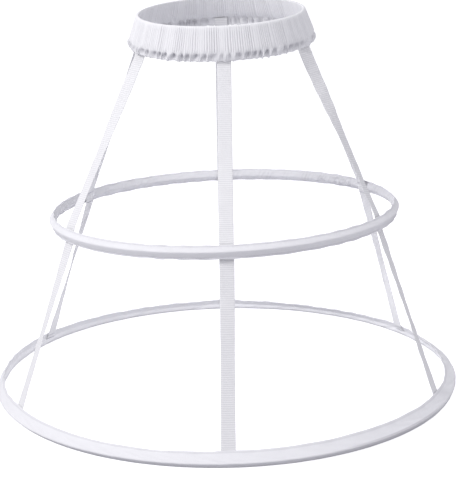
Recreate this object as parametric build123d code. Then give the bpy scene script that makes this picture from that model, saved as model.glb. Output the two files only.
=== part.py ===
from build123d import *
from build123d.topology import SkipClean

import math
import os

# A two-hoop crinoline cage: a gathered elastic waistband, six ribbed tapes and two boned
# hoops in sewn cloth casings. Millimetres, +Z up, the wearer faces -Y, +X is the wearer's
# left. The origin is the centre of the waistband's top edge.

# ---- Waistband ----------------------------------------------------------------------
WAIST_HALF_WIDTH = 125.0  # outside of the top edge, across the wearer
WAIST_HALF_DEPTH = 95.0  # outside of the top edge, front to back
BAND_FLARE = 13.5  # how much further out the lower edge stands
BAND_SEAM = 2.45  # from the elastic's tunnel to the band's upper or lower edge
RUFFLE_HEIGHT = 12.5
RUFFLE_DRAW_IN = 2.0  # the ruffle's hem hangs this much inside the band's lower edge
RUFFLE_THICKNESS = 1.8
WAIST_PITCH = 9.0  # degrees: the band sits higher at the wearer's back
WAIST_ROLL = 1.4  # degrees: the band sits a little higher at the wearer's left
SLEEVE_CLOTH = 1.5  # gathered cotton, each side of the elastic
ELASTIC_WIDTH = 30.0
ELASTIC_THICKNESS = 1.2

# ---- Hoops --------------------------------------------------------------------------
UPPER_RADIUS = 261.0  # to the middle of the casing
UPPER_DROP = 300.5  # below the waistband's top edge
UPPER_SHIFT = -1.0  # how far off the waistband's centre it hangs, along X
UPPER_ROLL = 1.2  # degrees: higher at the wearer's left
LOWER_RADIUS = 350.0
LOWER_DROP = 561.0
LOWER_SHIFT = -2.5
BONE_RADIUS = 2.5
BONE_END_GAP = 2.0
FERRULE_WALL = 0.6
FERRULE_LENGTH = 32.0
FERRULE_AZIMUTH = 150.0  # degrees from the front, towards +X
BONE_CLEARANCE = 0.05
CASING_CLOTH = 0.6

# The upper casing: an oval tunnel with a narrow seam lip above and below it.
UPPER_TUNNEL_HALF_HEIGHT = 6.2
UPPER_TUNNEL_HALF_WIDTH = 4.9
UPPER_LIP = 2.7
UPPER_LEAN = 8.0  # degrees from upright, lower edge outwards

# The lower casing: a round tunnel under a flat double web, which the tapes pull upwards.
LOWER_WEB = 13.5
LOWER_LEAN = 30.0

# ---- Tapes --------------------------------------------------------------------------
TAPE_WIDTH = 20.0
TAPE_THICKNESS = 1.0
TAPE_OVERLAP = 11.5  # length sewn down on the lower casing's web
TAPE_END_GAP = 0.7  # between a tape's top end and the band's lower edge
TAPE_BELOW_HEM = 4.0  # how far below the ruffle's hem a tape turns outwards
# Degrees from the front, towards +X, at the waistband, the upper hoop and the lower hoop.
TAPE_AZIMUTHS = {
    "tape_front": (1.0, 0.5, 0.0),
    "tape_left_front": (68.0, 63.5, 61.5),
    "tape_left_back": (115.0, 117.5, 120.5),
    "tape_back": (180.0, 180.0, 180.0),
    "tape_right_back": (246.0, 237.5, 240.0),
    "tape_right_front": (293.0, 298.0, 299.5),
}

CLEARANCE = 0.3  # between soft pieces that lie on each other

# ---- Sizes that follow --------------------------------------------------------------
BAND_HEIGHT = ELASTIC_WIDTH + 2 * (CLEARANCE + BAND_SEAM)
BAND_WALL = 2 * SLEEVE_CLOTH + ELASTIC_THICKNESS + 2 * CLEARANCE
FERRULE_BORE = BONE_RADIUS + BONE_CLEARANCE
FERRULE_RADIUS = FERRULE_BORE + FERRULE_WALL
TUNNEL_RADIUS = FERRULE_RADIUS + CLEARANCE
TUBE_RADIUS = TUNNEL_RADIUS + CASING_CLOTH
UPPER_BONE_OUT = UPPER_TUNNEL_HALF_WIDTH - TUNNEL_RADIUS  # the bone springs outwards
UPPER_HALF_WIDTH = UPPER_TUNNEL_HALF_WIDTH + CASING_CLOTH
UPPER_HALF_SECTION = UPPER_TUNNEL_HALF_HEIGHT + CASING_CLOTH + UPPER_LIP
LOWER_SECTION = 2 * TUBE_RADIUS + LOWER_WEB

waist_frame = Location((0, 0, 0), (WAIST_PITCH, -WAIST_ROLL, 0))
upper_frame = Location((UPPER_SHIFT, 0, -UPPER_DROP), (0, -UPPER_ROLL, 0))
lower_frame = Location((LOWER_SHIFT, 0, -LOWER_DROP))


# ---- Waistband ----------------------------------------------------------------------
def waist_oval(inset, height):
    """The oval at a height along the band, inset from its outside face."""
    flare = BAND_FLARE * -height / BAND_HEIGHT
    oval = Ellipse(WAIST_HALF_WIDTH + flare - inset, WAIST_HALF_DEPTH + flare - inset)
    return Pos(0, 0, height) * oval


def oval_ring(outer_inset, wall, top, bottom):
    """A flared ring of the band between two heights."""
    outer = loft([waist_oval(outer_inset, bottom), waist_oval(outer_inset, top)])
    inset = outer_inset + wall
    inner = loft([waist_oval(inset, bottom), waist_oval(inset, top)])
    return outer - inner


def ruffle():
    """The short frill of the sleeve's own cloth, below the band."""
    half_width = WAIST_HALF_WIDTH + BAND_FLARE
    half_depth = WAIST_HALF_DEPTH + BAND_FLARE
    walls = []
    for inset in (0, RUFFLE_THICKNESS):
        seam = Ellipse(half_width - inset, half_depth - inset)
        hem_inset = inset + RUFFLE_DRAW_IN
        hem = Ellipse(half_width - hem_inset, half_depth - hem_inset)
        stations = [
            Pos(0, 0, -BAND_HEIGHT - RUFFLE_HEIGHT) * hem,
            Pos(0, 0, -BAND_HEIGHT) * seam,
        ]
        walls.append(loft(stations))
    return walls[0] - walls[1]


def waist_sleeve():
    wall = oval_ring(0, BAND_WALL, 0, -BAND_HEIGHT)
    tunnel_wall = BAND_WALL - 2 * SLEEVE_CLOTH
    tunnel = oval_ring(SLEEVE_CLOTH, tunnel_wall, -BAND_SEAM, BAND_SEAM - BAND_HEIGHT)
    return waist_frame * (wall - tunnel + ruffle())


def waist_elastic():
    edge = BAND_SEAM + CLEARANCE
    inset = SLEEVE_CLOTH + CLEARANCE
    ring = oval_ring(inset, ELASTIC_THICKNESS, -edge, edge - BAND_HEIGHT)
    return waist_frame * ring


# ---- Hoops --------------------------------------------------------------------------
def section_point(radius, lean, out, up):
    """A point of a casing's section: out is square to it, up is along its lean."""
    turn = math.radians(lean)
    across = out * math.cos(turn) - up * math.sin(turn)
    return (radius + across, 0, out * math.sin(turn) + up * math.cos(turn))


def section_plane(radius, lean, out, up):
    """The XZ plane at a place in a casing's section, its Y axis along the lean."""
    turn = math.radians(lean)
    return Plane(
        origin=section_point(radius, lean, out, up),
        x_dir=(math.cos(turn), 0, math.sin(turn)),
        z_dir=(0, -1, 0),
    )


def ring(section):
    """A full turn of a thin section. Its two halves keep their own faces, which mesh evenly."""
    half = revolve(section, Axis.Z, 180)
    with SkipClean():
        return half + Rot(0, 0, 180) * half


upper_bone_plane = section_plane(UPPER_RADIUS, UPPER_LEAN, UPPER_BONE_OUT, 0)
lower_bone_plane = section_plane(
    LOWER_RADIUS, LOWER_LEAN, 0, TUBE_RADIUS - LOWER_SECTION / 2
)


def upper_casing():
    tube = Ellipse(UPPER_HALF_WIDTH, UPPER_TUNNEL_HALF_HEIGHT + CASING_CLOTH)
    lips = Rectangle(2 * CASING_CLOTH, 2 * UPPER_HALF_SECTION)
    tunnel = Ellipse(UPPER_TUNNEL_HALF_WIDTH, UPPER_TUNNEL_HALF_HEIGHT)
    plane = section_plane(UPPER_RADIUS, UPPER_LEAN, 0, 0)
    return upper_frame * ring(plane * (tube + lips - tunnel))


def lower_casing():
    tube = Circle(TUBE_RADIUS)
    web_height = LOWER_WEB + TUBE_RADIUS
    web = Pos(0, web_height / 2) * Rectangle(2 * CASING_CLOTH, web_height)
    section = tube + web - Circle(TUNNEL_RADIUS)
    return lower_frame * ring(lower_bone_plane * section)


def bone(plane):
    """An open ring of round bone whose two ends meet inside the ferrule."""
    gap = math.degrees(BONE_END_GAP / plane.origin.X)
    rod = revolve(plane * Circle(BONE_RADIUS), Axis.Z, 360 - gap)
    return Rot(0, 0, FERRULE_AZIMUTH - 90 + gap / 2) * rod


def ferrule(plane):
    sweep_angle = math.degrees(FERRULE_LENGTH / plane.origin.X)
    wall = Circle(FERRULE_RADIUS) - Circle(FERRULE_BORE)
    sleeve = revolve(plane * wall, Axis.Z, sweep_angle)
    return Rot(0, 0, FERRULE_AZIMUTH - 90 - sweep_angle / 2) * sleeve


# ---- Tapes --------------------------------------------------------------------------
def outward(azimuth):
    """The level direction that points away from the wearer at an azimuth from the front."""
    turn = math.radians(azimuth)
    return Vector(math.sin(turn), -math.cos(turn), 0)


def placed(frame, point):
    return (frame * Pos(*point)).position


def turned(frame, direction):
    """A direction of a frame, in the cage's own frame."""
    return placed(frame, direction) - frame.position


def flat_tape_sag(radius):
    """How much further in a flat tape's middle lies than its edges, on a round of a radius."""
    return radius - math.sqrt(radius**2 - (TAPE_WIDTH / 2) ** 2)


def band_radius(azimuth):
    """The radius of the band's bend at an azimuth, at its lower edge."""
    turn = math.radians(azimuth)
    half_width = WAIST_HALF_WIDTH + BAND_FLARE
    half_depth = WAIST_HALF_DEPTH + BAND_FLARE
    run = math.hypot(half_width * math.cos(turn), half_depth * math.sin(turn))
    return run**3 / (half_width * half_depth)


def waist_station(azimuth, height):
    """Where a tape hangs behind the ruffle: its middle, and its outward direction."""
    turn = math.radians(azimuth)
    drawn_in = RUFFLE_DRAW_IN * (-height - BAND_HEIGHT) / RUFFLE_HEIGHT
    under_ruffle = RUFFLE_THICKNESS + CLEARANCE + TAPE_THICKNESS / 2
    inset = under_ruffle + drawn_in + flat_tape_sag(band_radius(azimuth))
    half_width = WAIST_HALF_WIDTH + BAND_FLARE - inset
    half_depth = WAIST_HALF_DEPTH + BAND_FLARE - inset
    middle = Vector(half_width * math.sin(turn), -half_depth * math.cos(turn), height)
    normal = Vector(math.sin(turn) / half_width, -math.cos(turn) / half_depth, 0)
    return placed(waist_frame, middle), turned(waist_frame, normal.normalized())


def hoop_station(frame, radius, lean, azimuth, inside, up):
    """Where a tape lies on the wearer's side of a casing."""
    out, _, height = section_point(radius, lean, -inside, up)
    middle = outward(azimuth) * (out - flat_tape_sag(radius)) + Vector(0, 0, height)
    return placed(frame, middle), turned(frame, outward(azimuth))


def tape_stations(at_waist, at_upper, at_lower):
    """The tape's middle and outward direction at each change of its course, downwards."""
    stations = [
        waist_station(at_waist, -BAND_HEIGHT - TAPE_END_GAP),
        waist_station(at_waist, -BAND_HEIGHT - RUFFLE_HEIGHT - TAPE_BELOW_HEM),
    ]
    on_tube = UPPER_HALF_WIDTH + CLEARANCE + TAPE_THICKNESS / 2
    for up in (UPPER_HALF_SECTION, -UPPER_HALF_SECTION):
        stations.append(
            hoop_station(upper_frame, UPPER_RADIUS, UPPER_LEAN, at_upper, on_tube, up)
        )
    on_web = CASING_CLOTH + CLEARANCE + TAPE_THICKNESS / 2
    web_top = LOWER_SECTION / 2
    for up in (web_top, web_top - TAPE_OVERLAP):
        stations.append(
            hoop_station(lower_frame, LOWER_RADIUS, LOWER_LEAN, at_lower, on_web, up)
        )
    return stations


def tape(at_waist, at_upper, at_lower):
    """A flat tape, straight between the waistband and the hoops."""
    stations = tape_stations(at_waist, at_upper, at_lower)
    middles = [middle for middle, _ in stations]
    sections = []
    for number, (middle, facing) in enumerate(stations):
        before = middles[max(number - 1, 0)]
        after = middles[min(number + 1, len(middles) - 1)]
        along = (after - before).normalized()
        across = along.cross(facing).normalized()
        plane = Plane(origin=middle, x_dir=across, z_dir=along)
        sections.append(plane * Rectangle(TAPE_WIDTH, TAPE_THICKNESS))
    return loft(sections, ruled=True)


# ---- All the pieces -----------------------------------------------------------------
pieces = {
    "waist_sleeve": waist_sleeve(),
    "waist_elastic": waist_elastic(),
    "upper_casing": upper_casing(),
    "upper_bone": upper_frame * bone(upper_bone_plane),
    "upper_ferrule": upper_frame * ferrule(upper_bone_plane),
    "lower_casing": lower_casing(),
    "lower_bone": lower_frame * bone(lower_bone_plane),
    "lower_ferrule": lower_frame * ferrule(lower_bone_plane),
}
for name, azimuths in TAPE_AZIMUTHS.items():
    pieces[name] = tape(*azimuths)

os.makedirs("parts", exist_ok=True)
for name, piece in pieces.items():
    export_step(piece, f"parts/{name}.step")
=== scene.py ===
import math

import bmesh
import bpy
import numpy as np
from mathutils import Matrix, Vector


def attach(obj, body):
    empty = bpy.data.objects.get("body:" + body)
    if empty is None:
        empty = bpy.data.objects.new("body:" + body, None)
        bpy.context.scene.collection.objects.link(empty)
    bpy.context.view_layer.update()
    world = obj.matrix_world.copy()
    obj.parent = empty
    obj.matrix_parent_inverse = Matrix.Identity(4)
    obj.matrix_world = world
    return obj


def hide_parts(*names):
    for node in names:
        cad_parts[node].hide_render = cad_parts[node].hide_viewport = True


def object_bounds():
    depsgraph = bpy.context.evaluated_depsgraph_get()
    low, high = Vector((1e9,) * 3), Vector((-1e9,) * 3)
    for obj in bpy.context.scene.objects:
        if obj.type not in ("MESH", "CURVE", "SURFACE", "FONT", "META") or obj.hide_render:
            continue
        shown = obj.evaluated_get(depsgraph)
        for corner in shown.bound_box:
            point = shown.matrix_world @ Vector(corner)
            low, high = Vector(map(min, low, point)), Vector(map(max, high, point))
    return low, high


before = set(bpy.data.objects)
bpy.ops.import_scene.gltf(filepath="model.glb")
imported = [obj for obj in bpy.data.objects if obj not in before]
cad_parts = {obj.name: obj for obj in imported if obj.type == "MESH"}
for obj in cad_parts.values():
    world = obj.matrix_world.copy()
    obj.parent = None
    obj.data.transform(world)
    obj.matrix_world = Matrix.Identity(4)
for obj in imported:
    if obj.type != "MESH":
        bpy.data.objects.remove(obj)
cad_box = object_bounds()

# A two-hoop crinoline cage, in metres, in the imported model's frame: the origin is the centre
# of the waistband's top edge, the wearer faces -Y and +X is the wearer's left. Azimuths are
# in degrees from the front, towards +X. A casing's section is measured out (away from the
# wearer) and up (along its lean).

# ---- Sizes shared with the CAD model -------------------------------------------------
MM = 0.001
WAIST_HALF_WIDTH = 125 * MM
WAIST_HALF_DEPTH = 95 * MM
BAND_FLARE = 13.5 * MM
BAND_HEIGHT = 35.5 * MM
BAND_WALL = 4.8 * MM
RUFFLE_HEIGHT = 12.5 * MM
RUFFLE_DRAW_IN = 2.0 * MM
RUFFLE_THICKNESS = 1.8 * MM
WAIST_PITCH = 9.0
WAIST_ROLL = 1.4
UPPER_RADIUS = 261 * MM
UPPER_DROP = 300.5 * MM
UPPER_SHIFT = -1 * MM
UPPER_ROLL = 1.2
UPPER_BONE_OUT = 1.45 * MM
UPPER_HALF_WIDTH = 5.5 * MM
UPPER_HALF_SECTION = 9.5 * MM
LOWER_RADIUS = 350 * MM
LOWER_DROP = 561 * MM
LOWER_SHIFT = -2.5 * MM
LOWER_LEAN = 30.0
LOWER_HALF_SECTION = 10.8 * MM
LOWER_BONE_UP = -6.75 * MM
FERRULE_AZIMUTH = 150.0
CASING_CLOTH = 0.6 * MM
TAPE_WIDTH = 20 * MM
TAPE_THICKNESS = 1 * MM
TAPE_OVERLAP = 11.5 * MM
TAPE_END_GAP = 0.7 * MM
TAPE_BELOW_HEM = 4 * MM
CLEARANCE = 0.3 * MM

# ---- Cloth ---------------------------------------------------------------------------
PLEAT_PITCH = 3.5 * MM
PLEAT_DEPTH = 1.2 * MM
FOLD_PITCH = 11.8 * MM  # the ruffle's folds
FOLD_BULGE = 2.7 * MM
FOLD_PIT = 2.4 * MM
FOLD_LEAN = 1.7 * MM
HEM_WAVE = 1.5 * MM
SLEEVE_CLOTH = 0.55 * MM
SLEEVE_SEAM_DEPTH = 0.7 * MM
UPPER_SEAM = 7.6 * MM  # a row of stitches above the bone and one below it
UPPER_PUCKER = 0.75 * MM
UPPER_PUCKER_PITCH = 7.5 * MM
UPPER_LUMPS = 0.28 * MM
UPPER_FLAP = 0.5 * MM
UPPER_RAGGED = 0.35 * MM
WRINKLE_DEPTH = 0.85 * MM
WRINKLE_PITCH = 11 * MM
LOWER_SEAM = 8.4 * MM
LOWER_PUCKER = 0.22 * MM
LOWER_PUCKER_PITCH = 6.5 * MM
LOWER_LUMPS = 0.3 * MM
LOWER_FLAP = 0.55 * MM
LOWER_CREASE_UP = -5.8 * MM
FERRULE_LUMP = 0.6 * MM
RIB_PITCH = 3.0 * MM
RIB_DEPTH = 0.32 * MM
SELVEDGE = 1.4 * MM
TAPE_WAVE = 0.25 * MM
RUFFLE_SLACK = 0.2 * MM
WEB_SLACK = 0.35 * MM
STITCH_PITCH = 3.4 * MM
STITCH_LENGTH = 2.5 * MM
TACK_LENGTH = 2.2 * MM
THREAD_RADIUS = 0.2 * MM
WAIST_ROWS = 1400
BEND_SHARE = 2.5 * MM  # a bend of a radian gets as many points as this much length

# Azimuths at the waistband, the upper hoop and the lower hoop, and how far the tape's outer
# face turns towards the front or back: at both edges of the ruffle, at three places above
# the upper hoop, on it, half way below it, and at the lower hoop.
TAPES = {
    "tape_front": ((1.0, 0.5, 0.0), (0, 0, 2, 0, -3, 0, 2, 0)),
    "tape_left_front": ((66.3, 60.9, 64.5), (-6, -38, -34, -7, 5, 3, 12, 0)),
    "tape_left_back": ((115.0, 117.5, 120.5), (0, 6, 4, 0, 3, 8, -5, 0)),
    "tape_back": ((180.0, 180.0, 180.0), (0, 0, 2, 3, 2, 0, -5, 0)),
    "tape_right_back": ((249.0, 239.4, 240.0), (0, -5, 0, 4, 2, 0, 27, 0)),
    "tape_right_front": ((293.0, 298.0, 299.5), (4, 26, 26, 12, 8, 14, -8, 0)),
}

AT_WAIST, AT_UPPER, AT_LOWER = range(3)

# Every 30 degrees from the front, towards +X: the lean of each casing, in degrees.
UPPER_LEANS = (8, 9, 10, 9, 12, 9, 7, 6, 8, 6, 5, 7)
LOWER_LEANS = (29, 31, 38, 44, 38, 50, 40, 37, 24, 16, 17, 24)


# ---- Numbers -------------------------------------------------------------------------
def wobble(seed, low, high, count=8):
    """A smooth random wave around a ring, mostly -1 to 1, of low to high cycles a turn."""
    rng = np.random.default_rng(seed)
    cycles = rng.integers(low, high + 1, count)
    phases = rng.uniform(0, 2 * math.pi, count)

    def at(around):
        waves = [np.sin(2 * math.pi * c * around + p) for c, p in zip(cycles, phases)]
        return sum(waves) / math.sqrt(count)

    return at


def step(low, high, value):
    """From 0 below low to 1 above high, smoothly."""
    t = np.clip((value - low) / (high - low), 0, 1)
    return t * t * (3 - 2 * t)


def hump(middle, half_width, value):
    """1 at the middle, falling off to both sides."""
    return np.exp(-(((value - middle) / half_width) ** 2))


def round_hump(middle, half_width, degrees):
    """A hump at an azimuth, whichever way round it is reached."""
    away = (degrees - middle + 180) % 360 - 180
    return np.exp(-((away / half_width) ** 2))


def near_tapes(degrees, station, half_width):
    """1 at each tape's azimuth, and 0 away from them."""
    near = [round_hump(at[station], half_width, degrees) for at, _ in TAPES.values()]
    return np.max(near, axis=0)


def around_hoop(values, degrees):
    """A smooth value at azimuths, from values at even steps around the hoop."""
    count = len(values)
    place = np.asarray(degrees) / 360 * count
    index = np.floor(place).astype(int)
    t = place - index
    a, b, c, d = (np.array(values, float)[(index + k) % count] for k in (-1, 0, 1, 2))
    slope_in, slope_out = (c - a) / 2, (d - b) / 2
    start = (1 + 2 * t) * (1 - t) ** 2 * b + t * (1 - t) ** 2 * slope_in
    return start + t * t * (3 - 2 * t) * c + t * t * (t - 1) * slope_out


def smooth_path(corners, count):
    """Points on a smooth line through some corners, closer together where it bends."""
    corners = np.array(corners, float)
    ends = 2 * corners[0] - corners[1], 2 * corners[-1] - corners[-2]
    padded = np.vstack([ends[0], corners, ends[1]])
    t = np.linspace(0, 1, 24, endpoint=False)[:, None]
    spans = []
    for a, b, c, d in zip(padded, padded[1:], padded[2:], padded[3:]):
        cubic = (2 * a - 5 * b + 4 * c - d) * t**2 + (3 * b - a - 3 * c + d) * t**3
        spans.append((2 * b + (c - a) * t + cubic) / 2)
    line = np.vstack([*spans, corners[-1:]])
    steps = np.diff(line, axis=0)
    heading = np.unwrap(np.arctan2(steps[:, 1], steps[:, 0]))
    bend = np.append(0, np.abs(np.diff(heading)))
    run = np.append(0, np.cumsum(np.linalg.norm(steps, axis=1) + BEND_SHARE * bend))
    even = np.linspace(0, run[-1], count)
    return np.stack([np.interp(even, run, column) for column in line.T], axis=1)


def unit(vectors):
    """Each vector, one long."""
    return vectors / np.linalg.norm(vectors, axis=-1, keepdims=True)


def matrix(pitch, roll, place=(0, 0, 0)):
    """A piece's own frame: turned about X by pitch and Y by roll, in degrees."""
    pitched = Matrix.Rotation(math.radians(pitch), 4, "X")
    rolled = Matrix.Rotation(math.radians(roll), 4, "Y")
    return np.array(Matrix.Translation(place) @ pitched @ rolled)


WAIST_FRAME = matrix(WAIST_PITCH, -WAIST_ROLL)
UPPER_FRAME = matrix(0, -UPPER_ROLL, (UPPER_SHIFT, 0, -UPPER_DROP))
LOWER_FRAME = matrix(0, 0, (LOWER_SHIFT, 0, -LOWER_DROP))


def placed(frame_matrix, points):
    """Points of a piece's own frame, in the cage's."""
    return points @ frame_matrix[:3, :3].T + frame_matrix[:3, 3]


# ---- Meshes --------------------------------------------------------------------------
def new_object(name, points, faces, uv=None, folds=None):
    """A smooth mesh. folds is painted shade for each point: how far its colour is darkened where
    creases, seams and undersides would lie in shade.
    """
    mesh = bpy.data.meshes.new(name)
    mesh.from_pydata(points.tolist(), [], faces.tolist())
    mesh.polygons.foreach_set("use_smooth", [True] * len(mesh.polygons))
    if uv is not None:
        layer = mesh.uv_layers.new(name="cloth")
        layer.data.foreach_set("uv", uv.astype(np.float32).ravel())
    if folds is not None:
        # The fold attribute is painted shade, which darkens the colour in creases, seams and
        # undersides.
        depth = mesh.attributes.new("fold", "FLOAT", "POINT")
        depth.data.foreach_set("value", folds.astype(np.float32).ravel())
    mesh.validate()
    mesh.update()
    obj = bpy.data.objects.new(name, mesh)
    bpy.context.scene.collection.objects.link(obj)
    return obj


def opened(obj):
    """An object's mesh, ready for more faces, and its points."""
    mesh = bmesh.new()
    mesh.from_mesh(obj.data)
    mesh.verts.ensure_lookup_table()
    return mesh, mesh.verts


def closed(obj, mesh):
    """Puts a mesh back in its object, with every face outwards."""
    bmesh.ops.recalc_face_normals(mesh, faces=mesh.faces)
    mesh.to_mesh(obj.data)
    mesh.free()


def grid_object(name, grid, flat, closed_ring=True, folds=None):
    """A tube of cloth over a grid: rows run along it, and each row closes round its section.
    flat is each point's place in the flat cloth, in metres, with the closing ones added."""
    rows, columns = grid.shape[:2]
    spans = rows if closed_ring else rows - 1
    i, j = np.meshgrid(np.arange(spans), np.arange(columns), indexing="ij")
    corners = ((i, j), (i + 1, j), (i + 1, j + 1), (i, j + 1))
    faces = np.stack([(a % rows) * columns + b % columns for a, b in corners], axis=-1)
    uv = np.stack([flat[a, b] for a, b in corners], axis=-2)
    return new_object(name, grid.reshape(-1, 3), faces.reshape(-1, 4), uv, folds)


def lengths(points):
    """Running length down a row of points."""
    return np.append(0, np.cumsum(np.linalg.norm(np.diff(points, axis=0), axis=1)))


def surface_frames(grid):
    """Unit directions along, across and out of a ring's grid of points."""
    along = unit(np.roll(grid, -1, axis=0) - np.roll(grid, 1, axis=0))
    across = unit(np.gradient(grid, axis=1))
    return along, across, unit(np.cross(along, across))


def cloth(name, centre, thickness, folds):
    """A ring of cloth on a grid of its middle: both faces, with rounded raw edges."""
    _, across, out = surface_frames(centre)
    half = thickness / 2
    first_edge = centre[:, :1] - across[:, :1] * half
    last_edge = centre[:, -1:] + across[:, -1:] * half
    face, back = centre + out * half, centre - out * half
    grid = np.concatenate([first_edge, face, last_edge, back[:, ::-1]], axis=1)
    along = lengths(np.concatenate([centre[:, 0], centre[:1, 0]]))
    down = lengths(centre[0])
    across_place = np.concatenate([[0], down, down[-1:], down[::-1], [0]])
    flat = np.stack(np.meshgrid(along, across_place, indexing="ij"), axis=-1)
    folds = np.concatenate([folds[:, :1], folds, folds[:, -1:], folds[:, ::-1]], axis=1)
    return grid_object(name, grid, flat, folds=folds)


# ---- Waistband -----------------------------------------------------------------------
def waist_turns(rows):
    """Parameters of the band's oval, evenly spaced along its lower edge, and its perimeter."""
    t = np.linspace(0, 2 * math.pi, 4001)
    a, b = WAIST_HALF_WIDTH + BAND_FLARE, WAIST_HALF_DEPTH + BAND_FLARE
    run = lengths(np.stack([a * np.sin(t), b * np.cos(t)], axis=1))
    return np.interp(np.linspace(0, run[-1], rows, endpoint=False), run, t), run[-1]


def waist_point(turn, down, out):
    """A point of the band: down from its top edge, and out from its outside face."""
    grown = BAND_FLARE * np.minimum(down / BAND_HEIGHT, 1) + out
    drawn = RUFFLE_DRAW_IN * np.clip((down - BAND_HEIGHT) / RUFFLE_HEIGHT, 0, 1)
    x = (WAIST_HALF_WIDTH + grown - drawn) * np.sin(turn)
    y = -(WAIST_HALF_DEPTH + grown - drawn) * np.cos(turn)
    return placed(WAIST_FRAME, np.stack([x, y, -down + 0 * turn], axis=-1))


def waist_section():
    """The sleeve's cloth down its section: out and down, and 1 on its outer layer."""
    hem = BAND_HEIGHT + RUFFLE_HEIGHT
    face, inner_layer = -0.3 * MM, -0.3 * MM - SLEEVE_CLOTH - 0.15 * MM
    outer = [(face, d) for d in np.linspace(hem, BAND_HEIGHT + 1 * MM, 10)]
    band = [(-0.4 * MM, d) for d in np.linspace(BAND_HEIGHT - 1 * MM, 2.6 * MM, 9)]
    radius = BAND_WALL / 2 - SLEEVE_CLOTH
    middle = -0.5 * MM - radius
    fold = []
    for angle in np.radians((35, 70, 110, 145)):
        fold.append((middle + radius * math.cos(angle), 2.2 * MM - 2.0 * MM * math.sin(angle)))
    inner = [(middle - radius, d) for d in (2.6 * MM, 12 * MM, 24 * MM, 32 * MM)]
    back = [(inner_layer, d) for d in (BAND_HEIGHT, 39 * MM, 42 * MM, 45 * MM, hem)]
    path = np.array(outer + band + fold + inner + back)
    is_outer = np.arange(len(path)) < len(outer) + len(band) + 2
    return path[:, 0], path[:, 1], is_outer.astype(float)


def pleats(around, perimeter, down):
    """How far in the pleated band's face goes: narrow valleys between rounded pleats."""
    turns = round(perimeter / PLEAT_PITCH)
    drift = 1.5 * wobble(11, 9, 40)(around) + 0.8 * wobble(12, 40, 90)(around)
    slant = (0.9 * wobble(13, 3, 9)(around) + 0.5) * (down / BAND_HEIGHT - 0.5)
    phase = 2 * math.pi * turns * around + drift + slant
    valley = np.exp(-(np.sin(phase / 2) ** 2) / 0.3)
    depth = 0.8 + 0.35 * wobble(14, 12, 60)(around)
    return valley * np.clip(depth, 0.25, 1.3)


def ruffle_folds(around, perimeter, down):
    """The ruffle's folds: their crests, how they lean, and the place down to the hem."""
    turns = round(perimeter / FOLD_PITCH)
    place = np.clip((down - BAND_HEIGHT) / RUFFLE_HEIGHT, 0, 1)
    drift = 1.7 * wobble(21, 5, 19)(around) + 0.9 * wobble(22, 19, 40)(around)
    lean = 1.3 * place + 1.2 * wobble(23, 7, 30)(around) * place
    phase = 2 * math.pi * turns * around + drift + lean
    crest = np.abs(np.sin(phase / 2)) ** 1.3
    small = 0.16 * np.sin(2.6 * phase + 2 * wobble(24, 20, 50)(around))
    size = np.clip(0.9 + 0.3 * wobble(25, 6, 30)(around), 0.5, 1.35)
    return (crest + small) * size, np.sin(phase) * size, place


def waist_grid():
    """The waistband's cloth: its points, and the painted shade of each, darkest in the pleats'
    valleys, the ruffle's pits and just under the seam.
    """
    turn, perimeter = waist_turns(WAIST_ROWS)
    around = (np.arange(WAIST_ROWS) / WAIST_ROWS)[:, None]
    degrees = np.degrees(turn)[:, None]
    out, down, is_outer = (part[None, :] for part in waist_section())
    in_band = 1 - step(BAND_HEIGHT - 1.5 * MM, BAND_HEIGHT + 0.5 * MM, down)
    fold_top = step(0.5 * MM, 5 * MM, down)
    valley = pleats(around, perimeter, down) * in_band * (0.35 + 0.65 * fold_top)
    pleat = (valley - 0.4 * in_band) * PLEAT_DEPTH
    seam = hump(BAND_HEIGHT, 1.2 * MM, down) * SLEEVE_SEAM_DEPTH
    bulge, lean, place = ruffle_folds(around, perimeter, down)
    tape = near_tapes(degrees, AT_WAIST, 7.5)
    below_seam = step(0, 0.12, place)
    puff = np.sin(math.pi * (0.06 + 0.84 * place)) * below_seam
    pit = hump(0.36, 0.36, place) * below_seam
    hollow = (1 - np.clip(bulge, 0, 1)) * pit * (1 - 0.7 * tape)
    swell = bulge * FOLD_BULGE * puff * (1 - 0.4 * tape) - hollow * FOLD_PIT
    side = np.where(is_outer > 0, 1.0, -0.55)
    moved_out = out - pleat * side - seam * is_outer + swell
    along = lean * FOLD_LEAN * step(0, 0.5, place) * (1 - 0.5 * tape) / WAIST_HALF_WIDTH
    moved_down = down + (bulge - 0.5) * HEM_WAVE * place**2
    # Painted shade: the colour is darkened in the pleats' valleys, in the ruffle's pits and in a
    # line just under the seam.
    painted_seam_shade = hump(BAND_HEIGHT + 1.6 * MM, 1.6 * MM, down) * (1 - 0.5 * tape)
    folds = np.clip(0.31 * valley + 0.85 * hollow + 0.22 * painted_seam_shade, 0, 1)
    return waist_point(turn[:, None] + along, moved_down, moved_out), folds


# ---- Casings -------------------------------------------------------------------------
def hoop_point(frame_matrix, radius, lean, pivot, degrees, out, up):
    """A point of a casing's section, which leans about its bone."""
    turn = np.radians(lean)
    pivot_out, pivot_up, pivot_lean = pivot
    base = math.radians(pivot_lean)
    bone_radius = radius + pivot_out * math.cos(base) - pivot_up * math.sin(base)
    bone_height = pivot_out * math.sin(base) + pivot_up * math.cos(base)
    u, v = out - pivot_out, up - pivot_up
    r = bone_radius + u * np.cos(turn) - v * np.sin(turn)
    z = bone_height + u * np.sin(turn) + v * np.cos(turn)
    azimuth = np.radians(degrees)
    axes = np.broadcast_arrays(r * np.sin(azimuth), -r * np.cos(azimuth), z)
    return placed(frame_matrix, np.stack(axes, axis=-1))


def upper_point(degrees, out, up):
    """A point of the upper casing's section."""
    lean = around_hoop(UPPER_LEANS, degrees)
    pivot = (UPPER_BONE_OUT, 0.0, 8.0)
    return hoop_point(UPPER_FRAME, UPPER_RADIUS, lean, pivot, degrees, out, up)


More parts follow.
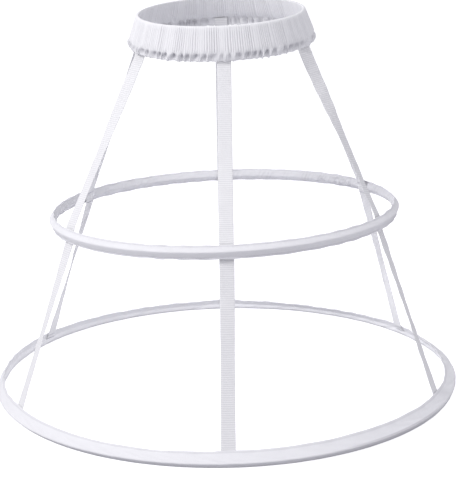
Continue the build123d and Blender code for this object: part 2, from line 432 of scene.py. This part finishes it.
def lower_point(degrees, out, up):
    """A point of the lower casing's section, which the back tapes pull more upright."""
    lean = around_hoop(LOWER_LEANS, degrees)
    lean = lean - 7 * round_hump(180, 5, degrees) - 4 * round_hump(120.5, 6, degrees)
    pivot = (0.0, LOWER_BONE_UP, LOWER_LEAN)
    return hoop_point(LOWER_FRAME, LOWER_RADIUS, lean, pivot, degrees, out, up)


# The casings' sections in millimetres, out and up, from one raw edge round to the other.
UPPER_SECTION = (
    (0.33, -9.5), (0.36, -8.5), (0.45, -7.6), (2.1, -5.2), (3.8, -2.6), (5.1, -0.4),
    (5.55, 0.5), (5.3, 1.3), (4.1, 3.2), (2.3, 5.6), (0.7, 7.2), (0.42, 8.3), (0.25, 9.1),
    (0, 9.4), (-0.25, 9.1), (-0.42, 8.3), (-0.6, 7.2), (-2.5, 4.9), (-4.2, 1.9),
    (-5.05, 0.2), (-5.1, -0.9), (-4.4, -2.4), (-2.4, -5.4), (-0.5, -7.5), (-0.36, -8.5),
    (-0.33, -9.5),
)
LOWER_SECTION = (
    (0.33, 10.8), (0.36, 9.6), (0.55, 8.2), (1.7, 4.6), (2.9, 1.0), (4.1, -2.6), (5.1, -5.6),
    (5.6, -6.9), (5.2, -7.6), (3.4, -8.7), (1.2, -9.8), (-0.8, -10.8), (-2.2, -11.0),
    (-3.7, -9.6), (-4.1, -7.2), (-3.6, -4.4), (-2.1, -1.9), (-0.8, -0.3), (-0.45, 2.0),
    (-0.4, 5.0), (-0.36, 8.2), (-0.34, 9.6), (-0.33, 10.8),
)


def ferrule_lump(degrees, out, up, bone_out, bone_up):
    """How far the cloth of the tunnel is pushed off the bone's ferrule, out and up."""
    away = np.hypot(out - bone_out, up - bone_up) + 0.01 * MM
    near = round_hump(FERRULE_AZIMUTH, 4.5, degrees) * (1 - step(5 * MM, 8 * MM, away))
    push = FERRULE_LUMP * near / away
    return push * (out - bone_out), push * (up - bone_up)


def slanted(around, length, pitch, up, slant, seed):
    """Small folds across a strip, drifting and slanting."""
    turns = round(length / pitch)
    drift = 1.8 * wobble(seed, 11, 60)(around) + 1.2 * wobble(seed + 1, 60, 150)(around)
    phase = 2 * math.pi * turns * around + drift + slant * up / pitch
    size = np.clip(0.5 + 0.6 * wobble(seed + 2, 8, 60)(around), 0, 1.4)
    return np.sin(phase) * size


def hoop_grid(section, rows, columns):
    """The section's out and up, and each row's turn and azimuth round the hoop."""
    path = smooth_path(np.array(section) * MM, columns)
    around = (np.arange(rows) / rows)[:, None]
    return path[None, :, 0], path[None, :, 1], around, around * 360


def upper_wrinkles(around, degrees, up, tape):
    """The wrinkles of the upper casing's inner face, most of them at the back."""
    length = 2 * math.pi * UPPER_RADIUS
    restless = 0.35 + 1.1 * round_hump(130, 34, degrees) + 0.5 * round_hump(255, 25, degrees)
    return slanted(around, length, WRINKLE_PITCH, up, 5.0, 87) * restless * (1 - tape)


def upper_grid(rows=800, columns=38):
    """The upper casing's cloth: its points, and the painted shade of each, darker along its
    seams, in its puckers and wrinkles, on its lower half and on its inner face.
    """
    out, up, around, degrees = hoop_grid(UPPER_SECTION, rows, columns)
    tape = near_tapes(degrees, AT_UPPER, 3.2)
    tube = step(0.6 * MM, 3 * MM, np.abs(out))
    lip = 1 - tube
    inner = step(0.5 * MM, -2 * MM, out) * tube
    above = step(-1 * MM, 4 * MM, up)
    sewn = hump(UPPER_SEAM, 2.2 * MM, np.abs(up)) * tube
    length = 2 * math.pi * UPPER_RADIUS
    gathers = slanted(around, length, UPPER_PUCKER_PITCH, up, 1.4, 41)
    pucker = gathers * sewn * UPPER_PUCKER
    lumps = UPPER_LUMPS * wobble(44, 20, 70)(around + 3 * up) * tube * above
    wrinkle = upper_wrinkles(around, degrees, up, tape) * inner
    sign = np.where(out > 0, 1.0, -1.0)
    flap = UPPER_FLAP * wobble(51, 30, 90)(around) * lip * step(7 * MM, 9.5 * MM, np.abs(up))
    new_out = out + sign * (pucker + lumps + wrinkle * WRINKLE_DEPTH) + flap
    ragged = UPPER_RAGGED * wobble(53, 14, 60)(around) * step(6 * MM, 9.5 * MM, np.abs(up))
    pulled_down = 0.5 * MM * tape * lip * step(7 * MM, 9 * MM, -up)
    new_up = up + ragged * np.sign(up) - pulled_down
    lump_out, lump_up = ferrule_lump(degrees, out, up, UPPER_BONE_OUT, 0.0)
    # Painted shade: the colour is darkened along both rows of stitches, in the puckers, on the
    # lower half of the tube, on its inner face and in the wrinkles.
    painted_groove_shade = hump(-UPPER_SEAM, 0.9 * MM, up) * (1 - tape) + 0.4 * hump(UPPER_SEAM, 0.8 * MM, up)
    under = step(0, -2 * MM, up) * tube * 0.08 + inner * 0.12
    folds = painted_groove_shade * 0.55 + np.clip(0.5 + 0.5 * gathers, 0, 1) * sewn * 0.36
    folds = np.clip(folds + under + 0.3 * np.clip(wrinkle, 0, 1.2), 0, 1)
    return upper_point(degrees, new_out + lump_out, new_up + lump_up), folds


def lower_edge(around, degrees, tape):
    """How far the lower casing's sewn edge stands up: most where a tape pulls on it."""
    pulled = 1.3 * tape + 0.35 * wobble(68, 10, 40)(around) + 2.2 * round_hump(42, 26, degrees)
    pulled = pulled + 1.2 * round_hump(150, 30, degrees) - 2 * round_hump(335, 24, degrees)
    return pulled * MM


def lower_grid(rows=900, columns=38):
    """The lower casing's cloth: its points, and the painted shade of each, darker on the facet
    under its crease and along its seam.
    """
    out, up, around, degrees = hoop_grid(LOWER_SECTION, rows, columns)
    tape = near_tapes(degrees, AT_LOWER, 3.4)
    web = step(-2 * MM, 6 * MM, up)
    inner = step(0.4 * MM, -1 * MM, out)
    sewn = hump(LOWER_SEAM, 3.0 * MM, up)
    length = 2 * math.pi * LOWER_RADIUS
    pucker = slanted(around, length, LOWER_PUCKER_PITCH, up, 1.2, 61) * sewn * LOWER_PUCKER
    lumps = LOWER_LUMPS * wobble(64, 24, 90)(around + 2 * up) * (1 - sewn)
    flap = LOWER_FLAP * wobble(66, 20, 80)(around) * step(4 * MM, LOWER_HALF_SECTION, up)
    sign = np.where(out > 0, 1.0, -1.0)
    new_out = out + sign * (pucker * (1 - inner) + lumps * (1 - web)) + flap * (1 - tape)
    pulled = lower_edge(around, degrees, tape)
    new_up = up + pulled * step(2 * MM, LOWER_HALF_SECTION, up)
    lump_out, lump_up = ferrule_lump(degrees, out, up, 0.0, LOWER_BONE_UP)
    # Painted shade: the colour is darkened on the outer facet below the crease, most where the
    # casing turns near 44 degrees, and in a line along the seam.
    turned = round_hump(44, 22, degrees)
    under = step(0, -1.2 * MM, up - LOWER_CREASE_UP - 2.2 * MM * turned)
    under = under * step(-2 * MM, 0, out) * (0.22 + 0.34 * turned)
    folds = under + 0.3 * hump(LOWER_SEAM, 0.9 * MM, up)
    return lower_point(degrees, new_out + lump_out, new_up + lump_up), folds


# ---- Tapes ---------------------------------------------------------------------------
def band_radius(azimuth):
    """How sharply the band's lower edge turns at an azimuth, as a radius."""
    turn = math.radians(azimuth)
    a, b = WAIST_HALF_WIDTH + BAND_FLARE, WAIST_HALF_DEPTH + BAND_FLARE
    return math.hypot(a * math.cos(turn), b * math.sin(turn)) ** 3 / (a * b)


def flat_tape_sag(radius):
    """How far a flat tape's middle keeps off a round wall that its edges touch."""
    return radius - math.sqrt(radius**2 - (TAPE_WIDTH / 2) ** 2)


def outward(azimuth):
    """The level direction away from the wearer."""
    turn = math.radians(azimuth)
    return np.array([math.sin(turn), -math.cos(turn), 0.0])


def turned_out(twist):
    """How far a turned tape's edge stands off its middle."""
    return TAPE_WIDTH / 2 * abs(math.sin(math.radians(twist)))


def tape_line(azimuths, twists):
    """The tape's middle and outward facing at each change of its course, downwards."""
    at_waist, at_upper, at_lower = azimuths
    turn = math.radians(at_waist)
    facing = np.array([math.sin(turn) / WAIST_HALF_WIDTH, -math.cos(turn) / WAIST_HALF_DEPTH, 0])
    facing = unit(WAIST_FRAME[:3, :3] @ facing)
    gap = CLEARANCE + TAPE_THICKNESS / 2
    in_ruffle = RUFFLE_THICKNESS + gap + flat_tape_sag(band_radius(at_waist)) + RUFFLE_SLACK
    hem = BAND_HEIGHT + RUFFLE_HEIGHT
    places, facings = [], []
    ends = ((BAND_HEIGHT + TAPE_END_GAP, twists[0]), (hem + TAPE_BELOW_HEM, twists[1]))
    for down, twist in ends:
        inside = in_ruffle + 0.5 * turned_out(twist)
        places.append(waist_point(np.array(turn), np.array(down), -inside))
        facings.append(facing)
    on_tube = UPPER_HALF_WIDTH + gap + flat_tape_sag(UPPER_RADIUS)
    on_tube = on_tube + 0.5 * turned_out(twists[5])
    for up in (UPPER_HALF_SECTION, -UPPER_HALF_SECTION):
        places.append(upper_point(np.array(at_upper), -on_tube, up))
        facings.append(outward(at_upper))
    on_web = CASING_CLOTH + gap + flat_tape_sag(LOWER_RADIUS) + WEB_SLACK
    for up in (LOWER_HALF_SECTION, LOWER_HALF_SECTION - TAPE_OVERLAP):
        places.append(lower_point(np.array(at_lower), -on_web, up))
        facings.append(outward(at_lower))
    return np.array(places), np.array(facings)


def eased(run, samples, values, reach):
    """Values down a line, straight between its corners and eased round them."""
    spacing = samples[1] - samples[0]
    half = max(1, round(reach / spacing))
    before = samples[0] - spacing * np.arange(half, 0, -1)
    after = samples[-1] + spacing * np.arange(1, half + 1)
    padded = np.concatenate([before, samples, after])
    kernel = np.hanning(2 * half + 3)[1:-1]
    kernel = kernel / kernel.sum()
    columns = []
    for column in np.atleast_2d(values.T):
        line = np.interp(padded, run, column)
        first = (column[1] - column[0]) / (run[1] - run[0])
        last = (column[-1] - column[-2]) / (run[-1] - run[-2])
        line = np.where(padded < run[0], column[0] + (padded - run[0]) * first, line)
        line = np.where(padded > run[-1], column[-1] + (padded - run[-1]) * last, line)
        columns.append(np.convolve(line, kernel, mode="valid"))
    return np.stack(columns, axis=-1)


def tape_frames(azimuths, twists):
    """Down a tape: its length so far, middle, and directions along, across and out."""
    places, facings = tape_line(azimuths, twists)
    run = lengths(places)
    rows = round(run[-1] / (RIB_PITCH / 4))
    samples = np.linspace(0, run[-1], rows)
    middle = eased(run, samples, places, 7 * MM)
    facing = eased(run, samples, facings, 30 * MM)
    along = unit(np.gradient(middle, axis=0))
    facing = unit(facing - along * np.sum(facing * along, axis=1, keepdims=True))
    across = np.cross(facing, along)
    above = np.linspace(run[1], run[2], 5)[:4]
    corners = (run[0], *above, (run[2] + run[3]) / 2, (run[3] + run[4]) / 2, run[4])
    twists = np.array(twists, float)[:, None]
    turn = np.radians(eased(np.array(corners), samples, twists, 28 * MM))
    turned = facing * np.cos(turn) + across * np.sin(turn)
    return samples, middle, along, np.cross(turned, along), turned


def tape_grid(azimuths, twists, seed):
    """A tape's two ribbed faces, and each row's place in the ribs."""
    samples, middle, _, across, facing = tape_frames(azimuths, twists)
    half = TAPE_WIDTH / 2
    width = np.array((-1, -0.93, -0.86, -0.6, -0.3, 0, 0.3, 0.6, 0.86, 0.93, 1)) * half
    ribbed = step(half, half - SELVEDGE, np.abs(width))[None, :]
    around = (samples / samples[-1])[:, None]
    drift = 0.5 * wobble(seed, 4, 30)(around) + 0.55 * (width / half)[None, :] ** 2
    phase = 2 * math.pi * samples[:, None] / RIB_PITCH + drift
    rib = (np.abs(np.sin(phase / 2)) - 0.6) * RIB_DEPTH * ribbed
    body = TAPE_THICKNESS / 2 - 0.12 * MM
    round_off = (1 - 0.55 * step(0.9 * half, half, np.abs(width)))[None, :]
    wave = TAPE_WAVE * wobble(seed + 1, 5, 22)(around) * (width / half)[None, :]
    calm = step(0, 40 * MM, samples) * step(0, 40 * MM, samples[-1] - samples)
    edge = wave * calm[:, None]
    faces = []
    for side in (1, -1):
        height = side * (body + rib) * round_off + edge
        sideways = across[:, None] * width[None, :, None]
        face = middle[:, None] + sideways + facing[:, None] * height[:, :, None]
        faces.append(face if side > 0 else face[:, ::-1])
    rib_place = phase * RIB_PITCH / (2 * math.pi)
    return samples, width, rib_place, np.concatenate(faces, axis=1)


def tape(name, azimuths, twists, seed):
    """One ribbed tape, and its length."""
    samples, width, rib_place, grid = tape_grid(azimuths, twists, seed)
    place = np.concatenate([width, width[::-1], width[:1]]) + TAPE_WIDTH / 2
    down = np.concatenate([rib_place, rib_place[:, ::-1], rib_place[:, :1]], axis=1)
    flat = np.stack([down, np.broadcast_to(place, down.shape)], axis=-1)
    obj = grid_object(name, grid, flat, closed_ring=False)
    close_ends(obj, len(samples), grid.shape[1])
    return obj, samples[-1]


def close_ends(obj, rows, columns):
    """Fills the two open ends of a strip with quads between its faces."""
    mesh, corners = opened(obj)
    for row in (0, rows - 1):
        ring = [corners[row * columns + k] for k in range(columns)]
        for k in range(columns // 2 - 1):
            mesh.faces.new((ring[k], ring[k + 1], ring[-k - 2], ring[-k - 1]))
    closed(obj, mesh)


# ---- Threads -------------------------------------------------------------------------
def stitches(name, middles, along, out, length):
    """Short bowed stitches, one at each middle, each sunk in the cloth at both its ends."""
    sides, rings = 5, 5
    across = unit(np.cross(out, along))
    place = np.linspace(-0.5, 0.5, rings)
    lift = (0.25 - place**2) * 4
    size = np.sqrt(np.maximum(0.12, 1 - (2 * place) ** 4))
    turn = 2 * math.pi * np.arange(sides) / sides
    local_x = np.repeat(place * length, sides)
    local_y = np.outer(size, np.cos(turn)).ravel() * THREAD_RADIUS
    bowed = np.outer(size, np.sin(turn)) + (lift * 1.3 - 0.5)[:, None]
    local_z = bowed.ravel() * THREAD_RADIUS
    points = middles[:, None]
    for direction, local in ((along, local_x), (across, local_y), (out, local_z)):
        points = points + direction[:, None] * local[None, :, None]
    quads = []
    for ring in range(rings - 1):
        for k in range(sides):
            a, b = ring * sides + k, ring * sides + (k + 1) % sides
            quads.append((a, b, b + sides, a + sides))
    per_stitch = rings * sides
    starts = np.arange(len(middles)) * per_stitch
    faces = (starts[:, None, None] + np.array(quads)[None]).reshape(-1, 4)
    obj = new_object(name, points.reshape(-1, 3), faces)
    fill_caps(obj, len(middles), per_stitch, sides)
    return obj


def fill_caps(obj, count, per_stitch, sides):
    """Closes both ends of each stitch."""
    mesh, corners = opened(obj)
    for number in range(count):
        start = number * per_stitch
        end = start + per_stitch - sides
        mesh.faces.new([corners[start + k] for k in reversed(range(sides))])
        mesh.faces.new([corners[end + k] for k in range(sides)])
    closed(obj, mesh)


def stitch_row(grid, column, length):
    """Middles, directions and facings of one row of stitches down a column of a casing."""
    along, _, out = surface_frames(grid)
    rows = len(grid)
    count = round(length / STITCH_PITCH)
    index = np.round(np.arange(count) * rows / count).astype(int) % rows
    facing = out[index, column]
    middle = grid[index, column] + facing * (CASING_CLOTH / 2)
    return middle, along[index, column], facing


def column_at(section, out_sign, up):
    """The column of a section that lies at a height, on its outer or inner layer."""
    away = np.abs(section[:, 1] - up) + np.where(section[:, 0] * out_sign > 0, 0, 1)
    return int(np.argmin(away))


def casing_thread(name, grid, section, heights, length):
    """Rows of stitches at some heights of a casing, on both its layers."""
    path = smooth_path(np.array(section) * MM, grid.shape[1])
    parts = []
    for up in heights:
        for out_sign in (1, -1):
            parts.append(stitch_row(grid, column_at(path, out_sign, up), length))
    middles, along, out = (np.concatenate(part) for part in zip(*parts))
    return stitches(name, middles, along, out, STITCH_LENGTH)


def bar_tacks(name):
    """Close rows of thread across each tape, where it is sewn to the two casings."""
    parts = []
    steps = np.arange(-8.4, 8.5, 1.05) * MM
    repeat = (len(steps), 1)
    for azimuths, twists in TAPES.values():
        samples, middle, along, across, facing = tape_frames(azimuths, twists)
        run = lengths(tape_line(azimuths, twists)[0])
        marks = (run[2] + 1.6 * MM, run[3] - 1.6 * MM, run[4] + 2.6 * MM, run[5] - 1.5 * MM)
        for mark in marks:
            row = int(np.argmin(np.abs(samples - mark)))
            place = middle[row] + across[row] * steps[:, None]
            place = place - facing[row] * TAPE_THICKNESS / 2
            parts.append((place, np.tile(along[row], repeat), np.tile(-facing[row], repeat)))
    middles, along, out = (np.concatenate(part) for part in zip(*parts))
    return stitches(name, middles, along, out, TACK_LENGTH)


# ---- Materials -----------------------------------------------------------------------
PAINTED_FOLD_SHADE = (0.4, 0.4, 0.43)  # painted shade: the colour given to cloth in creases, seams and undersides


class Nodes:
    """Short ways to add and link the nodes of one material."""

    def __init__(self, name):
        self.material = bpy.data.materials.new(name)
        self.material.use_nodes = True
        self.tree = self.material.node_tree
        self.shader = self.tree.nodes["Principled BSDF"]

    def add(self, kind, **settings):
        """A new node with its settings."""
        node = self.tree.nodes.new(kind)
        for key, value in settings.items():
            setattr(node, key, value)
        return node

    def link(self, source, target):
        self.tree.links.new(source, target)

    def math(self, operation, first, second):
        """A sum or product of sockets or numbers."""
        node = self.add("ShaderNodeMath", operation=operation)
        for socket, value in zip(node.inputs, (first, second)):
            if isinstance(value, (int, float)):
                socket.default_value = value
            else:
                self.link(value, socket)
        return node.outputs[0]

    def wave(self, vector, direction, pitch, distortion=0.0):
        """Bands of a pitch in metres."""
        node = self.add("ShaderNodeTexWave", bands_direction=direction)
        node.inputs["Scale"].default_value = 0.1 * math.pi / pitch
        node.inputs["Distortion"].default_value = distortion
        self.link(vector, node.inputs["Vector"])
        return node.outputs["Fac"]

    def noise(self, vector, scale, detail=4.0, roughness=0.55):
        """Soft clouds, of scale to the metre."""
        node = self.add("ShaderNodeTexNoise")
        node.inputs["Scale"].default_value = scale
        node.inputs["Detail"].default_value = detail
        node.inputs["Roughness"].default_value = roughness
        self.link(vector, node.inputs["Vector"])
        return node.outputs["Fac"]

    def mix(self, factor, first, second):
        """From the first colour to the second, each a colour or a socket."""
        node = self.add("ShaderNodeMix", data_type="RGBA")
        self.link(factor, node.inputs["Factor"])
        for socket, colour in ((node.inputs[6], first), (node.inputs[7], second)):
            if isinstance(colour, tuple):
                socket.default_value = (*colour, 1)
            else:
                self.link(colour, socket)
        return node.outputs[2]

    def bump(self, height, distance, strength, before=None):
        """Relief of some depth in metres, over an earlier one."""
        node = self.add("ShaderNodeBump")
        node.inputs["Distance"].default_value = distance
        node.inputs["Strength"].default_value = strength
        self.link(height, node.inputs["Height"])
        if before is not None:
            self.link(before, node.inputs["Normal"])
        return node.outputs["Normal"]

    def finish(self, pattern, light, shade, relief, depth, strength):
        """Colour from one pattern and relief from another."""
        self.link(self.mix(pattern, light, shade), self.shader.inputs["Base Color"])
        self.link(self.bump(relief, depth, strength), self.shader.inputs["Normal"])
        return self.material


def woven(name, light, shade, thread, roughness, sheen, rib=0.0):
    """Plain-woven cloth: crossing threads and soft slubs, with painted shade: darker where the
    fold attribute says, and in the grooves of any ribs.
    """
    nodes = Nodes(name)
    coordinates = nodes.add("ShaderNodeTexCoord")
    flat, solid = coordinates.outputs["UV"], coordinates.outputs["Object"]
    warp = nodes.math("SUBTRACT", nodes.wave(flat, "X", thread), 0.5)
    weft = nodes.math("SUBTRACT", nodes.wave(flat, "Y", thread), 0.5)
    weave = nodes.math("ADD", nodes.math("MULTIPLY", warp, weft), 0.5)
    slub = nodes.noise(solid, 900.0, 3.0)
    normal = nodes.bump(weave, thread * 0.5, 0.5)
    normal = nodes.bump(slub, 0.12 * MM, 0.35, normal)
    patch = nodes.noise(solid, 38.0, 5.0, 0.6)
    if rib:
        # Painted shade: the colour darkens in step with the ribs, in their grooves.
        painted_groove_shade = nodes.wave(flat, "X", rib)
        normal = nodes.bump(nodes.wave(flat, "X", rib / 3, 0.4), 0.08 * MM, 0.4, normal)
        patch = nodes.math("ADD", nodes.math("MULTIPLY", patch, 0.5), painted_groove_shade)
    # Painted shade: the fold attribute darkens the colour towards the painted shade colour in
    # creases, seams and undersides.
    painted_fold_shade = nodes.add("ShaderNodeAttribute", attribute_name="fold").outputs["Fac"]
    colour = nodes.mix(painted_fold_shade, nodes.mix(patch, light, shade), PAINTED_FOLD_SHADE)
    nodes.link(colour, nodes.shader.inputs["Base Color"])
    uneven = nodes.math("MULTIPLY", nodes.noise(solid, 240.0), 0.12)
    nodes.link(nodes.math("ADD", uneven, roughness - 0.06), nodes.shader.inputs["Roughness"])
    nodes.link(normal, nodes.shader.inputs["Normal"])
    nodes.shader.inputs["Sheen Weight"].default_value = sheen
    nodes.shader.inputs["Sheen Roughness"].default_value = 0.5
    nodes.shader.inputs["Specular IOR Level"].default_value = 0.25
    return nodes.material


def thread_material():
    """Twisted polyester sewing thread."""
    nodes = Nodes("polyester_thread")
    solid = nodes.add("ShaderNodeTexCoord").outputs["Object"]
    twist = nodes.wave(solid, "DIAGONAL", 0.35 * MM, 0.4)
    nodes.shader.inputs["Roughness"].default_value = 0.45
    nodes.shader.inputs["Sheen Weight"].default_value = 0.2
    return nodes.finish(twist, (0.72, 0.72, 0.77), (0.55, 0.55, 0.62), twist, 0.08 * MM, 0.6)


def elastic_material():
    """The waist elastic, with cords along it."""
    nodes = Nodes("knitted_elastic")
    solid = nodes.add("ShaderNodeTexCoord").outputs["Object"]
    cords = nodes.wave(solid, "Z", 1.4 * MM, 0.3)
    nodes.shader.inputs["Roughness"].default_value = 0.8
    return nodes.finish(cords, (0.7, 0.7, 0.72), (0.6, 0.6, 0.63), cords, 0.2 * MM, 0.7)


def bone_material():
    """The plastic cover of the hoops' springy bones."""
    nodes = Nodes("white_plastic_bone")
    solid = nodes.add("ShaderNodeTexCoord").outputs["Object"]
    cloud, grain = nodes.noise(solid, 60.0), nodes.noise(solid, 700.0)
    nodes.shader.inputs["Roughness"].default_value = 0.38
    return nodes.finish(cloud, (0.78, 0.78, 0.76), (0.7, 0.7, 0.68), grain, 0.05 * MM, 0.3)


def ferrule_material():
    """Scratched steel, for the crimped sleeves that join the bones."""
    nodes = Nodes("crimped_steel")
    solid = nodes.add("ShaderNodeTexCoord").outputs["Object"]
    scratches = nodes.noise(solid, 420.0, 6.0, 0.7)
    nodes.shader.inputs["Metallic"].default_value = 1.0
    nodes.shader.inputs["Roughness"].default_value = 0.32
    light, shade = (0.62, 0.62, 0.64), (0.5, 0.5, 0.52)
    return nodes.finish(scratches, light, shade, scratches, 0.05 * MM, 0.5)


def wear(obj, material):
    """Gives a piece its material, and its place in the cage's one body."""
    obj.data.materials.clear()
    obj.data.materials.append(material)
    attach(obj, "root")


def recover(node, material):
    """A CAD node that keeps its shape gets its own finish."""
    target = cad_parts[node]
    for slot in target.material_slots:
        slot.material = material


# ---- The cage ------------------------------------------------------------------------
def build_waist(material):
    """The gathered sleeve round the elastic, with its ruffle."""
    grid, folds = waist_grid()
    obj = cloth("waist_cloth", grid, SLEEVE_CLOTH, folds)
    wear(obj, material)
    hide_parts("waist_sleeve")


def build_casings(material, thread):
    """Both hoops' casings and the rows of stitches that close them."""
    upper, folds = upper_grid()
    obj = cloth("upper_casing_cloth", upper, CASING_CLOTH, folds)
    wear(obj, material)
    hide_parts("upper_casing")
    lower, folds = lower_grid()
    obj = cloth("lower_casing_cloth", lower, CASING_CLOTH, folds)
    wear(obj, material)
    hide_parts("lower_casing")
    upper_length, lower_length = 2 * math.pi * UPPER_RADIUS, 2 * math.pi * LOWER_RADIUS
    heights = (7.8 * MM, -7.9 * MM)
    obj = casing_thread("upper_thread", upper, UPPER_SECTION, heights, upper_length)
    wear(obj, thread)
    obj = casing_thread("lower_thread", lower, LOWER_SECTION, (8.6 * MM,), lower_length)
    wear(obj, thread)


def build_tapes(material, thread):
    """The six tapes, and the bar tacks that hold them to the hoops."""
    for number, (name, (azimuths, twists)) in enumerate(TAPES.items()):
        obj, length = tape(name + "_webbing", azimuths, twists, 80 + 3 * number)
        wear(obj, material)
        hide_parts(name)
    wear(bar_tacks("bar_tacks"), thread)


# ---- Studio --------------------------------------------------------------------------
LENS = 96.7
SENSOR = 36
CAMERA_PLACE = (-0.0009, -1.9367, 0.144)
CAMERA_DOWN = 14.35  # degrees below level
CAMERA_YAW = -0.0025
CAMERA_ROLL = -0.0216
FLOOR_GAP = 0.5 * MM


def build_floor():
    """A plain pale floor under the lower hoop, a little brighter where it is seen."""
    bpy.ops.mesh.primitive_plane_add(size=60, location=(0, 0, cad_box[0][2] - FLOOR_GAP))
    floor = bpy.context.object
    floor.name = "floor"
    material = bpy.data.materials.new("floor")
    material.use_nodes = True
    nodes, links = material.node_tree.nodes, material.node_tree.links
    nodes.clear()
    diffuse = nodes.new("ShaderNodeBsdfDiffuse")
    diffuse.inputs["Color"].default_value = (0.5, 0.5, 0.53, 1)
    glow = nodes.new("ShaderNodeEmission")
    seen = nodes.new("ShaderNodeLightPath")
    strength = nodes.new("ShaderNodeMath")
    strength.operation = "MULTIPLY"
    strength.inputs[1].default_value = 0.8
    both = nodes.new("ShaderNodeAddShader")
    output = nodes.new("ShaderNodeOutputMaterial")
    links.new(seen.outputs["Is Camera Ray"], strength.inputs[0])
    links.new(strength.outputs[0], glow.inputs["Strength"])
    links.new(diffuse.outputs[0], both.inputs[0])
    links.new(glow.outputs[0], both.inputs[1])
    links.new(both.outputs[0], output.inputs["Surface"])
    floor.data.materials.append(material)


def build_world():
    """Soft even light from all round, and a white backdrop."""
    world = bpy.data.worlds.new("studio")
    bpy.context.scene.world = world
    world.use_nodes = True
    nodes, links = world.node_tree.nodes, world.node_tree.links
    nodes.clear()
    soft = nodes.new("ShaderNodeBackground")
    soft.inputs["Color"].default_value = (0.94, 0.935, 1.0, 1)
    soft.inputs["Strength"].default_value = 0.62
    white = nodes.new("ShaderNodeBackground")
    white.inputs["Strength"].default_value = 1.05
    seen = nodes.new("ShaderNodeLightPath")
    mix = nodes.new("ShaderNodeMixShader")
    output = nodes.new("ShaderNodeOutputWorld")
    links.new(seen.outputs["Is Camera Ray"], mix.inputs[0])
    links.new(soft.outputs[0], mix.inputs[1])
    links.new(white.outputs[0], mix.inputs[2])
    links.new(mix.outputs[0], output.inputs["Surface"])


def area_light(name, place, target, size, power, colour):
    """A square soft lamp, aimed at a target."""
    data = bpy.data.lights.new(name, "AREA")
    data.size = size
    data.energy = power
    data.color = colour
    light = bpy.data.objects.new(name, data)
    light.visible_camera = False
    bpy.context.scene.collection.objects.link(light)
    aim = Vector(place) - Vector(target)
    turn = aim.to_track_quat("Z", "Y").to_matrix().to_4x4()
    light.matrix_world = Matrix.Translation(place) @ turn


def inner_light(place, size, power):
    """A soft lamp low inside the cage, which lights the hoops' inner faces."""
    data = bpy.data.lights.new("inner", "POINT")
    data.shadow_soft_size = size
    data.energy = power
    lamp = bpy.data.objects.new("inner", data)
    lamp.location = place
    lamp.visible_camera = False
    bpy.context.scene.collection.objects.link(lamp)


def build_lights():
    """Studio lamps, and two weak ones inside for the light that thin cloth lets through."""
    middle = (0, 0, -0.3)
    area_light("key", (-2.1, -1.2, 1.45), middle, 1.3, 60, (1, 0.99, 0.98))
    area_light("top", (0.2, 0.4, 2.2), middle, 2.2, 11, (1, 1, 1))
    area_light("fill", (2.1, -2.0, 0.2), middle, 1.6, 21, (1, 0.99, 0.99))
    area_light("low", (0, 0, -0.42), (0, 0, -0.57), 0.08, 0.95, (1, 1, 1))
    inner_light((0, 0, -0.5), 0.05, 0.16)


def build_camera():
    """The photograph's viewing angle, from the front and a little above the waistband."""
    data = bpy.data.cameras.new("camera")
    data.lens = LENS
    data.sensor_width = SENSOR
    data.sensor_fit = "VERTICAL"
    data.sensor_height = SENSOR
    camera = bpy.data.objects.new("camera", data)
    bpy.context.scene.collection.objects.link(camera)
    yawed = Matrix.Rotation(CAMERA_YAW, 4, "Z")
    pitched = Matrix.Rotation(math.radians(90 - CAMERA_DOWN), 4, "X")
    rolled = Matrix.Rotation(CAMERA_ROLL, 4, "Z")
    camera.matrix_world = Matrix.Translation(CAMERA_PLACE) @ yawed @ pitched @ rolled
    bpy.context.scene.camera = camera


def build_cage():
    """Every piece of the cage, in its own cloth, thread, plastic or steel."""
    light, shade = (0.76, 0.76, 0.78), (0.72, 0.72, 0.74)
    cotton = woven("gathered_cotton", light, shade, 0.3 * MM, 0.85, 0.15)
    light, shade = (0.73, 0.73, 0.755), (0.68, 0.68, 0.705)
    twill = woven("casing_cloth", light, shade, 0.32 * MM, 0.78, 0.2)
    # The webbing's darker colour is reached in the grooves of its ribs, which is painted shade,
    # and in random patches.
    light, shade = (0.78, 0.78, 0.79), (0.66, 0.66, 0.68)
    webbing = woven("ribbed_webbing", light, shade, 0.5 * MM, 0.7, 0.2, rib=RIB_PITCH)
    thread = thread_material()
    build_waist(cotton)
    build_casings(twill, thread)
    build_tapes(webbing, thread)
    recover("waist_elastic", elastic_material())
    bone, steel = bone_material(), ferrule_material()
    for hoop in ("upper", "lower"):
        recover(hoop + "_bone", bone)
        recover(hoop + "_ferrule", steel)


build_camera()
build_cage()
build_floor()
build_world()
build_lights()
bpy.context.scene.view_settings.view_transform = "Standard"
